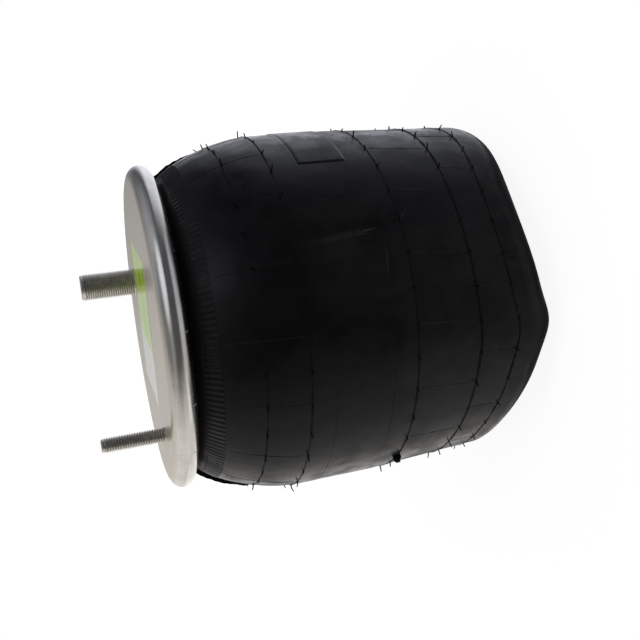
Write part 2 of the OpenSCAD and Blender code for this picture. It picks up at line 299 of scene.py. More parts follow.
passage_r = 3.5 * MM
STUD_DULL = (0.60, 0.578, 0.54, 1)
STUD_BRIGHT = (0.73, 0.705, 0.66, 1)
# Painted shade: a dark colour mixed into the thread's groove by its depth.
GROOVE_SHADE = (0.10, 0.096, 0.080, 1)
STUD_CLOUDS, STUD_TONE, GROOVE_FADE = 260, (0.35, 0.65), (0.55, 1.05)
STUD_ROUGH, GROOVE_ROUGH, STUD_CLOUD_ROUGH = 0.24, 0.2, 0.12
GROOVE_SHADE_SHARE, GROOVE_MATT, GROOVE_UNEVEN = 0.4, 0.2, 0.3
STUD_BUMP, STUD_BUMP_SHARE = 0.02 * MM, 0.06


def thread(radius, depth, pitch, low, high, turn):
    """Rows (r, z) of a thread cut inwards by depth, or outwards where depth is negative. The rows follow
    the helix, z = (row + turn) pitch, held between low and high. Crest and root of the groove are flat."""
    rows = np.arange(-ROWS_PER_TURN, (high - low) / pitch * ROWS_PER_TURN + 1)[:, None] / ROWS_PER_TURN
    share = turn / FULL_TURN
    z = np.clip(low + (rows + share) * pitch, low, high)
    wave = np.abs(2 * (((z - low) / pitch - share) % 1) - 1)
    return radius - depth * np.clip((wave - CREST_SHARE) / (1 - CREST_SHARE - ROOT_SHARE), 0, 1), z


def flat_rows(points, turn):
    """Rows (r, z) of a profile that doesn't change round the axis."""
    points = np.array(points)
    return points[:, :1] + 0 * turn, points[:, 1:] + 0 * turn


def turn_rows(stretches, turn, axis_x=0, axis_y=0):
    """Stretches of rows (r, z) joined and turned about one axis or several: x is the axis's place plus
    r cos of the turn, and y is its place plus r sin."""
    r, z = (np.concatenate(rows) for rows in zip(*stretches))
    x, y = axis_x + r * np.cos(turn), axis_y + r * np.sin(turn)
    return np.stack(np.broadcast_arrays(x, y, z), -1).reshape(-1, *r.shape, 3)


def stud_finish(name, axis_x, axis_y, radius):
    """Zinc on a rolled thread: cloudy tone, with painted shade that darkens the groove towards its root,
    where the zinc is also duller and rougher.
    """
    material, place = new_finish(name)
    x, y, _ = place.xyz()
    dx, dy = x - axis_x, y - axis_y
    depth = (radius - (dx * dx + dy * dy).root()) / THREAD_DEPTH
    cloud = place.noise(STUD_CLOUDS, detail=4.0)
    grain = place.noise(ZINC_GRAIN, detail=2.0)
    groove = (depth + cloud.sway(GROOVE_UNEVEN)).step(*GROOVE_FADE)
    metal = cloud.step(*STUD_TONE).between(STUD_DULL, STUD_BRIGHT)
    # Painted shade: the colour darkens towards the thread's root, where the groove lies in shade.
    coat(place, Base_Color=(groove * GROOVE_SHADE_SHARE).between(metal, GROOVE_SHADE),
         Metallic=1 - groove * GROOVE_MATT,
         Roughness=STUD_ROUGH + groove * GROOVE_ROUGH + cloud.sway(STUD_CLOUD_ROUGH),
         Normal=grain.bump(STUD_BUMP, STUD_BUMP_SHARE))
    return material


def stud_piece(name, node, radius, head_r, head_t, bore_r=0):
    """A stud turned about the middle of its node's box: head, shank and rolled thread up to a chamfered
    tip. Where it has a bore, its profile goes on down the tapped port and closes along the bore."""
    low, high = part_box(node)
    axis_x, axis_y = (low.x + high.x) / 2, (low.y + high.y) / 2
    tip, head_top = high.z, low.z + head_t
    shank_r, lead_r = radius + SHANK_STEP, radius - LEAD_STEP
    turn = np.linspace(0, FULL_TURN, STUD_COLUMNS)
    stretches = [
        flat_rows([(bore_r, low.z), (head_r, low.z), (head_r, head_top), (shank_r, head_top),
                   (shank_r, face_z + SHANK_END), (radius, face_z + SHANK_EASE)], turn),
        thread(radius, THREAD_DEPTH, THREAD_PITCH, face_z + THREAD_START, tip - TIP_LEAD, turn),
        flat_rows([(lead_r, tip - TIP_LEAD), (lead_r, tip - TIP_CHAMFER),
                   (lead_r - TIP_CHAMFER, tip)], turn)]
    if bore_r:
        port_end = tip - port_depth
        inside_r, inside_z = thread(port_r, -PORT_DEPTH, PORT_PITCH, port_end, tip - PORT_CHAMFER, turn)
        stretches += [flat_rows([(port_r + PORT_CHAMFER, tip)], turn),
                      (inside_r[::-1], inside_z[::-1]),
                      flat_rows([(port_r, port_end), (bore_r, port_end - PORT_CHAMFER)], turn)]
    else:
        stretches += [flat_rows([(0, tip)], turn)]
    points = turn_rows(stretches, turn, axis_x, axis_y)
    piece = make_piece(name, (points, "rows" if bore_r else ""))
    piece.data.materials.append(stud_finish(name + "_zinc", axis_x, axis_y, radius))
    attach(piece, "upper_mount")
    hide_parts(node)


stud_piece("air_stud_threaded", "air_inlet_stud", air_stud_r, air_head_r, air_head_t, passage_r)
stud_piece("mounting_stud_threaded", "mounting_stud", plain_stud_r, plain_head_r, plain_head_t)

# Blank label: one bare sticker of glossy film, green at the air stud's end and white at
# the other, cut as a plain oblong and glued flat on the plate's face.
LABEL_T = 0.12 * MM
LABEL_STEPS = 40
label_corner = np.array((19, -62)) * MM
label_wide, label_long = np.array((-69, 20)) * MM, np.array((30, 95)) * MM
BLISTER_H, BLISTER_WIDE, BLISTER_SLANT, BLISTER_LONG = 0.06 * MM, 9, 4, 11
GREEN_SHARE, GREEN_EDGE = 0.62, 0.004
GREEN, GREEN_PALE = (0.42, 0.70, 0.012, 1), (0.60, 0.80, 0.045, 1)
FILM_WHITE, FILM_GREY = (0.82, 0.81, 0.76, 1), (0.76, 0.75, 0.70, 1)
FILM_CLOUDS, FILM_TONE, FILM_WRINKLES = 60, (0.35, 0.65), 70
FADE_STRETCH, FADE_TONE = (95, 13, 1), (0.46, 0.70)
FILM_ROUGH, FILM_CLOUD_ROUGH = 0.20, 0.12
FILM_SPECULAR, FILM_COAT, FILM_COAT_ROUGH = 0.5, 0.25, 0.12
FILM_BUMP, FILM_BUMP_SHARE = 0.5 * MM, 0.5


def closed_patch(above, below):
    """One sheet from two patches of the same size: over the upper one and back under the lower one, as
    a sleeve whose two open ends are drawn together on the middle between the patches."""
    middle = (above + below) / 2
    sleeve = np.concatenate((above, below[::-1]), 0)
    ends = np.concatenate((middle, middle[::-1]), 0)
    return [(np.concatenate((ends[:, :1], sleeve, ends[:, -1:]), 1)[None], "rows")]


def film_finish(name):
    """Glossy film, slightly wrinkled: green with paler streaks up to a share of its length, then white."""
    material, place = new_finish(name)
    x, y, _ = place.xyz()
    along_x, along_y = label_long / (label_long @ label_long)
    share = (x - label_corner[0]) * along_x + (y - label_corner[1]) * along_y
    cloud = place.noise(FILM_CLOUDS, detail=4.0)
    wrinkle = place.noise(FILM_WRINKLES, detail=3.0, roughness=0.4)
    faded = place.stretch(FADE_STRETCH).noise(1.0, detail=3.0).step(*FADE_TONE)
    green = faded.between(GREEN, GREEN_PALE)
    white = cloud.step(*FILM_TONE).between(FILM_WHITE, FILM_GREY)
    two_tone = share.step(GREEN_SHARE - GREEN_EDGE, GREEN_SHARE + GREEN_EDGE).between(green, white)
    coat(place, Base_Color=two_tone,
         Roughness=FILM_ROUGH + cloud.sway(FILM_CLOUD_ROUGH), Specular_IOR_Level=FILM_SPECULAR,
         Coat_Weight=FILM_COAT, Coat_Roughness=FILM_COAT_ROUGH,
         Normal=wrinkle.bump(FILM_BUMP, FILM_BUMP_SHARE))
    return material


label_shares = np.linspace(0, 1, LABEL_STEPS)
label_u, label_v = np.meshgrid(label_shares, label_shares, indexing="ij")
label_u, label_v = label_u[..., None], label_v[..., None]
label_flat = label_corner + label_u * label_wide + label_v * label_long
blister = BLISTER_H * np.sin(BLISTER_WIDE * label_u + BLISTER_SLANT * label_v)
blister = blister * np.sin(BLISTER_LONG * label_v)
label_over = np.concatenate((label_flat, face_z + LABEL_T + blister), -1)
label_under = np.concatenate((label_flat, face_z - LABEL_T + 0 * label_u), -1)
label = make_piece("blank_label", *closed_patch(label_over, label_under))
label.data.materials.append(film_finish("label_film"))
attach(label, "upper_mount")

# Bellows: black rubber over tyre cord, moulded in one piece. A bead held in the plate's rim,
# a rounded shoulder, a straight wall, and a slack end that rolls under and up the piston.
SKIN_COLUMNS, WALL_STEPS, INNER_STEPS = 420, 96, 40
BEAD_STEPS, LOBE_STEPS, LOBE_INNER_STEPS = 16, 40, 30
bellows_r = 122.5 * MM
wall = 5 * MM
neck_wall = 7 * MM
NECK_GAP, BEAD_PLAY = 1.3 * MM, 0.1 * MM
neck_r = rim_r - rim_round - NECK_GAP
neck_in = neck_r - neck_wall
neck_z = face_z - 2 * rim_round
neck_top = under_z - BEAD_PLAY
bead_round = rim_round - sheet - BEAD_PLAY
BEAD_FOOT_SHARE = 0.6
BEAD_FOOT = np.arcsin(BEAD_FOOT_SHARE)
FULL_NECK, FULL_FROM, FULL_OVER = 3.0 * MM, 30 * MM, 40 * MM
neck_full = neck_r + FULL_NECK
SHOULDER_L, TAPER_L = 86 * MM, 79 * MM
shoulder_z = face_z - SHOULDER_L
shoulder_round = ((bellows_r - neck_r) ** 2 + (neck_z - shoulder_z) ** 2) / (2 * (bellows_r - neck_r))
shoulder_r = bellows_r - shoulder_round
WALL_START, INNER_END = 1 * MM, 12 * MM
lobe_low, lobe_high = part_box("bellows_lobe")
lobe_r, lobe_lift, seam_z = lobe_high.x, lobe_low.z, lobe_high.z
leg_r = 78 * MM
lobe_round = (lobe_r - leg_r) / 2
lobe_mid_r, lobe_mid_z = leg_r + lobe_round, lobe_lift + lobe_round
taper_z = seam_z + TAPER_L
LOBE_END = np.radians(-162)
# Each wave of the sag: rounds, depth and the turn of a crest.
SAGS = ((2, 2.8 * MM, np.radians(143)), (4, 5.3 * MM, np.radians(26)))
SAG_TOP, SAG_OVER, SAG_IN = 90 * MM, 70 * MM, 24 * MM
NOSE_DEPTH, NOSE_TURN, NOSE_HALF = 3.8 * MM, np.radians(165), np.radians(7.5)
SLOPE_STEP = 0.1 * MM
ROLL_START, ROLL_END = 31 * MM, 24 * MM
RUBBER_BLACK, RUBBER_DUSTY = (0.0028, 0.0028, 0.0035, 1), (0.0100, 0.0098, 0.0104, 1)
RUBBER_GRIME, RUBBER_SCUFF = (0.016, 0.0145, 0.0150, 1), (0.030, 0.030, 0.031, 1)
GRIME_TOP, GRIME_FULL = 60 * MM, 25 * MM
CLEAN_FROM, CLEAN_FULL, CLEAN_SHARE = 130 * MM, 185 * MM, 0.14
DULL_FROM, DULL_FULL, DULL_ROUGH = 228 * MM, 233 * MM, 0.35
RUBBER_CLOUDS, RUBBER_DENTS, RUBBER_BLOOM, RUBBER_PORES = 15, 32, 55, 1400
BLOOM_TONE, DUST_TONE = (0.35, 0.65), (0.45, 0.72)
WIPE_STRETCH, WIPE_SHARE, PORE_SHARE = (60, 60, 9), 0.25, 0.05
GRIME_BLOTCHES, BLOTCH_TONE = 40, (0.40, 0.75)
GRIME_SPECKS, SPECK_TONE, SPECK_LOW, SPECK_MORE = 330, (0.60, 0.70), 0.7, 0.6
DUST_ROUGH, GRIME_ROUGH, STREAK_ROUGH, BLOOM_ROUGH = 0.08, 0.08, 0.20, 0.20
RUBBER_BUMP, RUBBER_BUMP_SHARE = 1.4 * MM, 0.6
SKIN_ROUGH, SKIN_SPECULAR = 0.30, 0.17
SCUFF_DEEP, SCUFF_EDGE, SCUFF_GRAIN, SCUFF_TONE = 8 * MM, (1.0, 0.1), 420, (0.2, 0.6)
# Each rubbed mark: its two ends as a turn in degrees and a height in mm, half its width in mm, its strength.
SCUFFS = (((197.4, 168), (200.4, 117), 3.0, 0.35), ((199.4, 134), (200.2, 118), 0.8, 0.8),
          ((198.6, 140), (199.0, 119), 0.5, 0.5), ((199.2, 116.8), (182.8, 121), 0.6, 0.7),
          ((200.4, 109), (205.8, 96), 0.7, 0.6))


def smooth(value):
    """0 below 0, 1 above 1, and 3 v^2 - 2 v^3 between."""
    value = np.clip(value, 0, 1)
    return value * value * (3 - 2 * value)


def wall_radius(z):
    """Outside radius of the wall at height z: a taper up from the lobe, a straight band, then the
    shoulder's arc, which stands fuller just below the rim."""
    taper = lobe_r + (bellows_r - lobe_r) * (z - seam_z) / (taper_z - seam_z)
    shoulder = shoulder_r + np.sqrt(np.maximum(shoulder_round ** 2 - (z - shoulder_z) ** 2, 0))
    full = FULL_NECK * smooth((z - shoulder_z - FULL_FROM) / FULL_OVER)
    return np.where(z > shoulder_z, shoulder + full, np.where(z > taper_z, bellows_r, taper))


def slack(turn, r, z):
    """How far the empty end sags along the axis: waves of two and four rounds and one pinched nose, a bell
    curve of the turn. They fade out higher up the wall and towards the piston."""
    wave = sum(depth * np.cos(rounds * (turn - crest)) for rounds, depth, crest in SAGS)
    off = (turn - NOSE_TURN + np.pi) % FULL_TURN - np.pi
    wave = wave - NOSE_DEPTH * np.exp(-(off / NOSE_HALF) ** 2)
    return wave * smooth((SAG_TOP - z) / SAG_OVER) * smooth((r - leg_r - wall) / SAG_IN)


def on_wall(turn, z, lift):
    """Points of the sagged wall at a turn and height, lifted off it along the wall's normal."""
    r = wall_radius(z)
    slope = (wall_radius(z + SLOPE_STEP) - wall_radius(z - SLOPE_STEP)) / (2 * SLOPE_STEP)
    length = np.sqrt(1 + slope ** 2)
    r_out, z_out = r + lift / length, z - lift * slope / length + slack(turn, r, z)
    return np.stack(np.broadcast_arrays(r_out * np.cos(turn), r_out * np.sin(turn), z_out), -1)


def scuff(place, first, last, half_wide):
    """A rubbed mark between two places of the wall, each a turn in degrees and a height in mm: 1 along
    its middle, 0 at the rim of an ellipsoid that the mark fills."""
    turn, z = np.radians((first[0], last[0])), np.array((first[1], last[1])) * MM
    start, end = on_wall(turn, z, 0)
    length = np.linalg.norm(end - start)
    along = (end - start) / length
    normal = np.array((np.cos(turn.mean()), np.sin(turn.mean()), 0))
    across = np.cross(normal, along) / np.linalg.norm(np.cross(normal, along))
    turned = Matrix(np.column_stack((along, across, np.cross(along, across))).tolist()).to_euler()
    size = (length / 2, half_wide * MM, SCUFF_DEEP)
    local = place.node("Mapping", {"vector_type": "TEXTURE"},
                       {"Vector": place, "Location": (start + end) / 2, "Rotation": turned, "Scale": size})
    off = local.node("VectorMath", {"operation": "LENGTH"}, {0: local}, out="Value")
    return off.step(*SCUFF_EDGE)


def rubber_finish(name, black, dusty, roughness, specular, scuffs=()):
    """Moulded rubber: satin black with dull mould-release clouds, wiping streaks along the axis and fine
    pores, cleaner higher up, with handling grime on the rolled end, a dull neck, and rubbed marks."""
    material, place = new_finish(name)
    _, _, z = place.xyz()
    cloud = place.noise(RUBBER_CLOUDS, detail=4.0, roughness=0.5)
    streak = place.stretch(WIPE_STRETCH).noise(1.0, detail=4.0)
    pores = place.noise(RUBBER_PORES, detail=2.0)
    dents = place.noise(RUBBER_DENTS, detail=2.0)
    bloom = place.noise(RUBBER_BLOOM, detail=3.0).step(*BLOOM_TONE)
    specks = place.noise(GRIME_SPECKS, detail=2.0).step(*SPECK_TONE)
    blotches = place.noise(GRIME_BLOTCHES, detail=6.0, roughness=0.6).step(*BLOTCH_TONE)
    clean = z.step(CLEAN_FROM, CLEAN_FULL)
    dust = cloud * (1 - WIPE_SHARE) + streak * WIPE_SHARE - clean * CLEAN_SHARE
    dust = dust.step(*DUST_TONE)
    grime = blotches * z.step(GRIME_TOP, GRIME_FULL) * (SPECK_LOW + specks * SPECK_MORE)
    colour = grime.between(dust.between(black, dusty), RUBBER_GRIME)
    rough = roughness + dust * DUST_ROUGH + grime * GRIME_ROUGH
    rough = rough + streak.sway(STREAK_ROUGH) + bloom.sway(BLOOM_ROUGH)
    rough = rough + z.step(DULL_FROM, DULL_FULL) * DULL_ROUGH
    for first, last, half_wide, strength in scuffs:
        worn = place.noise(SCUFF_GRAIN, detail=3.0).step(*SCUFF_TONE) * strength
        colour = (scuff(place, first, last, half_wide) * worn).between(colour, RUBBER_SCUFF)
    height = dents * (1 - PORE_SHARE) + pores * PORE_SHARE
    coat(place, Base_Color=colour, Roughness=rough, Specular_IOR_Level=specular,
         Normal=height.bump(RUBBER_BUMP, RUBBER_BUMP_SHARE))
    return material


outer_z = np.linspace(neck_z + WALL_START, seam_z, WALL_STEPS)
inner_z = np.linspace(seam_z, neck_z - INNER_END, INNER_STEPS)
skin_profile = np.concatenate((
    [(neck_in, neck_top), (rim_r, neck_top)],
    arc(rim_r, rim_z, bead_round, QUARTER, BEAD_FOOT - np.pi, BEAD_STEPS),
    [(neck_full, rim_z - BEAD_FOOT_SHARE * bead_round)],
    np.stack((wall_radius(outer_z), outer_z), -1),
    arc(lobe_mid_r, lobe_mid_z, lobe_round, 0, LOBE_END, LOBE_STEPS),
    arc(lobe_mid_r, lobe_mid_z, lobe_round - wall, LOBE_END, 0, LOBE_INNER_STEPS),
    np.stack((wall_radius(inner_z) - wall, inner_z), -1)))
skin_points = spin(skin_profile, SKIN_COLUMNS)
skin_turn = np.arctan2(skin_points[..., 1], skin_points[..., 0])
skin_r = np.hypot(skin_points[..., 0], skin_points[..., 1])
skin_points[..., 2] += slack(skin_turn, skin_r, skin_points[..., 2])
skin = make_piece("bellows_skin", (skin_points, "rows columns"))
rubber = rubber_finish("moulded_rubber", RUBBER_BLACK, RUBBER_DUSTY, SKIN_ROUGH, SKIN_SPECULAR, SCUFFS)
skin.data.materials.append(rubber)
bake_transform(skin)
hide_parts("bellows_sleeve", "bellows_lobe")

# Ribbed band: fine moulded ribs along the shoulder next to the rim, where the crimp grips
# the rubber. They are part of the moulding.
RIBS, RIB_POINTS = 180, 7
RIB_H, RIB_SUNK, RIB_BURIED = 0.31 * MM, 0.03 * MM, 0.12 * MM
RIB_L = 9.5 * MM
RIB_ROUGH, RIB_SPECULAR = 0.34, 0.15
top_ring_z = face_z - 30.5 * MM
rib_turn = np.arange(RIBS)[:, None, None] * FULL_TURN / RIBS
rib_across = np.linspace(0, np.pi, RIB_POINTS)[None, None, :]
# Six rows along a rib, of which the first and the last draw its ends together.
rib_ends = np.array([0, 1, 1, 1, 1, 0])[None, :, None]
rib_z = (top_ring_z + RIB_L * np.array([0, 0, 1 / 3, 2 / 3, 1, 1]))[None, :, None]
rib_side = rib_ends * np.pi / RIBS * (1 - 2 * rib_across / np.pi)
rib_lift = rib_ends * (RIB_H + RIB_SUNK) * np.sin(rib_across) ** 2 - RIB_SUNK
rib_over = on_wall(rib_turn + rib_side, rib_z + 0 * rib_across, rib_lift)
rib_feet = rib_side[:, :, [-1, 0]]
rib_under = on_wall(rib_turn + rib_feet, rib_z + 0 * rib_feet, 0 * rib_feet - RIB_BURIED)
rib_band = make_piece("ribbed_band", (np.concatenate((rib_over, rib_under), 2), "columns"))
rib_rubber = rubber_finish("rib_rubber", RUBBER_BLACK, RUBBER_DUSTY, RIB_ROUGH, RIB_SPECULAR)
rib_band.data.materials.append(rib_rubber)
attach(rib_band, "upper_mount")

# Vent rings and lines: thin ragged ridges where rubber crept into the mould's joints, and
# the hairs that grew in its air vents. They are part of the moulding and were never trimmed.
chance = np.random.default_rng(7)
RING_HEIGHTS = np.array([top_ring_z, face_z - 53.4 * MM, face_z - 78.8 * MM,
                         seam_z + 68.9 * MM, seam_z + 27.6 * MM, seam_z + 3.6 * MM])
BAND_LINES = np.array([face_z - 94.3 * MM, seam_z + 84.5 * MM])
RING_BOLD = np.array([0.28, 0.6, 0.75, 0.8, 0.85, 0.85, 0.25, 0.25])[:, None] * MM
RING_TIGHT = np.array([0.4, 0.5, 0.5, 0.4, 0, 0, 0.3, 0.3])[:, None]
TIGHT_TURN, TIGHT_HALF = np.radians(196), np.radians(36)
RING_COLUMNS, RING_SIDES = 720, 6
RING_WIDE, RING_WIDE_MORE = 0.80, 0.45
RING_TALL, RING_TALL_MORE = 0.45, 0.60
RIDGE_SUNK = 0.15 * MM
LINES, LINE_PITCH, LINE_STEPS = 18, np.radians(20), 14
LINE_LOW_RINGS, LINE_HIGH_RINGS = [2, 4, 5], [0, 3, 4]
LINE_FIRST = np.radians((13.5, 13.5, 3.5))
LINE_BOLD, LINE_BOLD_MORE, LINE_TALL = 0.33 * MM, 0.16 * MM, 0.8
TWIST, TWIST_TOP, TWIST_LOW, TWIST_POWER = np.radians(4.5), 165 * MM, 40 * MM, 1.6
HAIRS, HAIR_SIDES = 36, 6
FIRST_HAIR, HAIR_PITCH = np.radians(3.5), np.radians(10)
HAIR_L, HAIR_W, HAIR_LEAN = 3.6 * MM, 0.45 * MM, 0.22
HAIR_MEAN, HAIR_SPREAD, HAIR_SHORT, HAIR_LONG = 0.85, 0.35, 0.15, 1.35
# Each row of a hair: its place as a share of the hair's length, and its girth as a share of the width.
HAIR_PROFILE = ((-0.1, 0.0), (-0.1, 2.6), (0, 2.2), (0.12, 1.1), (0.55, 1.0), (1.0, 0.8), (1.0, 0.0))
FLASH_BLACK, FLASH_DUSTY = (0.0025, 0.0025, 0.0028, 1), (0.0045, 0.0045, 0.0048, 1)
FLASH_ROUGH, FLASH_SPECULAR = 0.5, 0.10


def ragged(copies, columns, waves):
    """Uneven size round a ring, 0 to 1: seeded random points joined smoothly by a repeated average."""
    size = chance.random((copies, columns))
    for _ in range(waves):
        size = (np.roll(size, 1, 1) + 2 * size + np.roll(size, -1, 1)) / 4
    low, high = size.min(1, keepdims=True), size.max(1, keepdims=True)
    return (size - low) / (high - low)


def ridge(turn, z, half_width, height, along_axis):
    """A low ridge on the wall: a half round of that width and height, sunk a little, carried along the
    points (turn, z). Its rows run across the ridge and its columns along it."""
    across = np.linspace(0, np.pi, RING_SIDES)[:, None]
    side = half_width[..., None, :] * np.cos(across)
    lift = height[..., None, :] * np.sin(across) - RIDGE_SUNK
    turn, z = turn[..., None, :], z[..., None, :]
    if along_axis:
        return on_wall(turn + side / bellows_r, z + 0 * side, lift)
    return on_wall(turn + 0 * side, z + side, lift)


def twist(z):
    """How far the slack end has turned against the plate at height z: none at the top, growing faster
    lower down."""
    return -TWIST * np.clip((TWIST_TOP - z) / (TWIST_TOP - TWIST_LOW), 0, 1) ** TWIST_POWER


ring_turn = np.linspace(0, FULL_TURN, RING_COLUMNS, endpoint=False)[None]
ring_z = np.concatenate((RING_HEIGHTS, BAND_LINES))[:, None]
ring_bold = RING_BOLD * (1 - RING_TIGHT * np.exp(-((ring_turn - TIGHT_TURN) / TIGHT_HALF) ** 2))
uneven = ragged(len(ring_z), RING_COLUMNS, 3)
rings = ridge(ring_turn + 0 * ring_z, ring_z + 0 * ring_turn,
              ring_bold * (RING_WIDE + RING_WIDE_MORE * uneven),
              ring_bold * (RING_TALL + RING_TALL_MORE * uneven), False)

line_turn = (LINE_FIRST[:, None] + np.arange(LINES) * LINE_PITCH).reshape(-1, 1)
line_low = np.repeat(RING_HEIGHTS[LINE_LOW_RINGS], LINES)[:, None]
line_high = np.repeat(RING_HEIGHTS[LINE_HIGH_RINGS], LINES)[:, None]
line_z = line_low + (line_high - line_low) * np.linspace(0, 1, LINE_STEPS)
line_bold = LINE_BOLD + LINE_BOLD_MORE * chance.random(line_z.shape)
line_bold[:, [0, -1]] = 0
lines = ridge(line_turn + twist(line_z), line_z, line_bold, LINE_TALL * line_bold, True)
line_piece = make_piece("vent_lines", (lines, "rows"))
line_piece.data.materials.append(rubber)
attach(line_piece, "upper_mount")

hair_turns = FIRST_HAIR + np.arange(HAIRS) * HAIR_PITCH
hair_turn, hair_z = np.meshgrid(hair_turns, RING_HEIGHTS[1:], indexing="ij")
hair_turn, hair_z = (hair_turn + twist(hair_z)).ravel()[:, None, None], hair_z.ravel()[:, None, None]
hair_size = np.clip(chance.normal(HAIR_MEAN, HAIR_SPREAD, hair_turn.shape), HAIR_SHORT, HAIR_LONG)
hair_long = HAIR_L * hair_size
lean_turn, lean_z = chance.normal(0, HAIR_LEAN, (2, *hair_turn.shape))
rise, girth = np.array(HAIR_PROFILE).T[:, None, :, None]
girth = girth * HAIR_W
bend = hair_long * rise ** 2
round_hair = np.linspace(0, FULL_TURN, HAIR_SIDES, endpoint=False)[None, None, :]
hairs = on_wall(hair_turn + (girth * np.cos(round_hair) + lean_turn * bend) / bellows_r,
                hair_z + girth * np.sin(round_hair) + lean_z * bend, hair_long * rise)
flash = make_piece("vent_flash", (rings, "rows columns"), (hairs, "columns"))
flash_rubber = rubber_finish("flash_rubber", FLASH_BLACK, FLASH_DUSTY, FLASH_ROUGH, FLASH_SPECULAR)
flash.data.materials.append(flash_rubber)
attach(flash, "upper_mount")

# Parting fins and lump: where the two halves of the mould meet, thin fins of rubber stand
# on the shoulder, and a lump was left hanging on one ring.
FIN_TURNS = np.radians((93.5, 273.5))[:, None]
FIN_HEIGHTS = np.array(((4.0, 2.4), (3.8, 2.6))) * MM
FIN_HALF_T, FIN_COLUMNS = 0.4 * MM, 48
FIN_ABOVE, FIN_BELOW = 1 * MM, 6 * MM
FIN_RISE, FIN_FADE = 0.04, 0.25
FIN_EVEN, FIN_RAGGED = 0.86, 0.24
LUMP_TURN, LUMP_R = np.radians(119), 2.6 * MM
LUMP_LIFT, LUMP_TALL, LUMP_UNEVEN = 1.2 * MM, 1.3, 0.18
LUMP_ROWS, LUMP_COLUMNS = 10, 16
fin_share = np.linspace(0, 1, FIN_COLUMNS)[None]
fin_z = neck_z - FIN_ABOVE + (RING_HEIGHTS[1] - FIN_BELOW - neck_z) * fin_share + 0 * FIN_TURNS
fin_ends = np.minimum(smooth(fin_share / FIN_RISE), smooth((1 - fin_share) / FIN_FADE))
fin_high = FIN_HEIGHTS[:, :1] + (FIN_HEIGHTS[:, 1:] - FIN_HEIGHTS[:, :1]) * fin_share
fin_high = fin_high * fin_ends * (FIN_EVEN + FIN_RAGGED * ragged(2, FIN_COLUMNS, 2))
fins = ridge(FIN_TURNS + 0 * fin_share, fin_z, FIN_HALF_T * fin_ends, fin_high, True)
lump_up = np.linspace(0, np.pi, LUMP_ROWS)[:, None]
lump_round = np.linspace(0, FULL_TURN, LUMP_COLUMNS, endpoint=False)[None]
lump_size = LUMP_R * (1 + LUMP_UNEVEN * np.sin(3 * lump_round + 2 * lump_up) * np.sin(lump_up))
lump = on_wall(LUMP_TURN + lump_size * np.sin(lump_up) * np.cos(lump_round) / bellows_r,
               RING_HEIGHTS[3] + lump_size * np.sin(lump_up) * np.sin(lump_round),
               LUMP_LIFT + LUMP_TALL * lump_size * np.cos(lump_up))[None]
fin_piece = make_piece("parting_fins", (fins, "rows"), (lump, "columns"))
fin_piece.data.materials.append(flash_rubber)
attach(fin_piece, "upper_mount")

# Moulded pads: raised smooth fields of rubber between the two lines of the plain band, one
# on each side. They are part of the moulding, formed by shallow pockets in the mould.
PAD_TURNS = np.radians((244, 64))
PAD_HALF_TURN = np.radians(18.5)
PAD_MARGIN = 2.4 * MM
PAD_H, PAD_EDGE = 0.7 * MM, 1.2 * MM
PAD_SUNK, PAD_BACK = 0.1 * MM, 0.4 * MM
PAD_STEPS_ROUND, PAD_STEPS_ALONG = 61, 25
pad_u, pad_v = np.meshgrid(np.linspace(-1, 1, PAD_STEPS_ROUND), np.linspace(-1, 1, PAD_STEPS_ALONG),
                           indexing="ij")
pad_half = (BAND_LINES[0] - BAND_LINES[1]) / 2 - PAD_MARGIN
pad_z = (BAND_LINES[0] + BAND_LINES[1]) / 2 + pad_v * pad_half
pad_inset = np.minimum((1 - np.abs(pad_u)) * PAD_HALF_TURN * bellows_r, (1 - np.abs(pad_v)) * pad_half)
pad_lift = PAD_H * smooth(pad_inset / PAD_EDGE) - PAD_SUNK
pad_sheets = []
for pad_turn in PAD_TURNS:
    pad_over = on_wall(pad_turn + pad_u * PAD_HALF_TURN, pad_z, pad_lift)
    pad_under = on_wall(pad_turn + pad_u * PAD_HALF_TURN, pad_z, 0 * pad_lift - PAD_BACK)
    pad_sheets += closed_patch(pad_over, pad_under)
pads = make_piece("moulded_pads", *pad_sheets)
pads.data.materials.append(rubber)
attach(pads, "upper_mount")

# Inner wall of the bellows: the rolled end carries on up the piston, turns in over its top
# and ends in the lower bead. On the real part it peels off the piston as the part extends; here it moves
# with the piston as one rigid piece.
LEG_PLAY = 0.2 * MM
LEG_STEPS, CORNER_STEPS = 30, 12
corner_z = 158 * MM
corner_mid_r = 70.5 * MM
seat_z = 165.5 * MM
bead_in, bead_out, bead_h = 46.5 * MM, 60 * MM, 9 * MM
leg_in, leg_out = leg_r + LEG_PLAY, leg_r + wall - LEG_PLAY
leg_z = np.linspace(ROLL_END, corner_z, LEG_STEPS)
leg_outside = np.stack((0 * leg_z + leg_out, leg_z), -1)
leg_inside = np.stack((0 * leg_z + leg_in, leg_z[::-1]), -1)
leg_profile = np.concatenate((leg_outside, leg_inside))
leg = make_piece("piston_leg", (spin(leg_profile, PLATE_COLUMNS), "rows columns"))
leg.data.materials.append(rubber)
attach(leg, "piston")
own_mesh(leg)
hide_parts("bellows_piston_wall")
bead_profile = np.concatenate((
    arc(corner_mid_r, corner_z, leg_out - corner_mid_r, 0, QUARTER, CORNER_STEPS),
    [(bead_out, seat_z + wall), (bead_out, seat_z + bead_h), (bead_in, seat_z + bead_h), (bead_in, seat_z)],
    arc(corner_mid_r, corner_z, leg_in - corner_mid_r, QUARTER, 0, CORNER_STEPS)))
lower_bead = make_piece("lower_bead_rubber", (spin(bead_profile, PLATE_COLUMNS), "rows columns"))
lower_bead.data.materials.append(rubber)
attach(lower_bead, "piston")

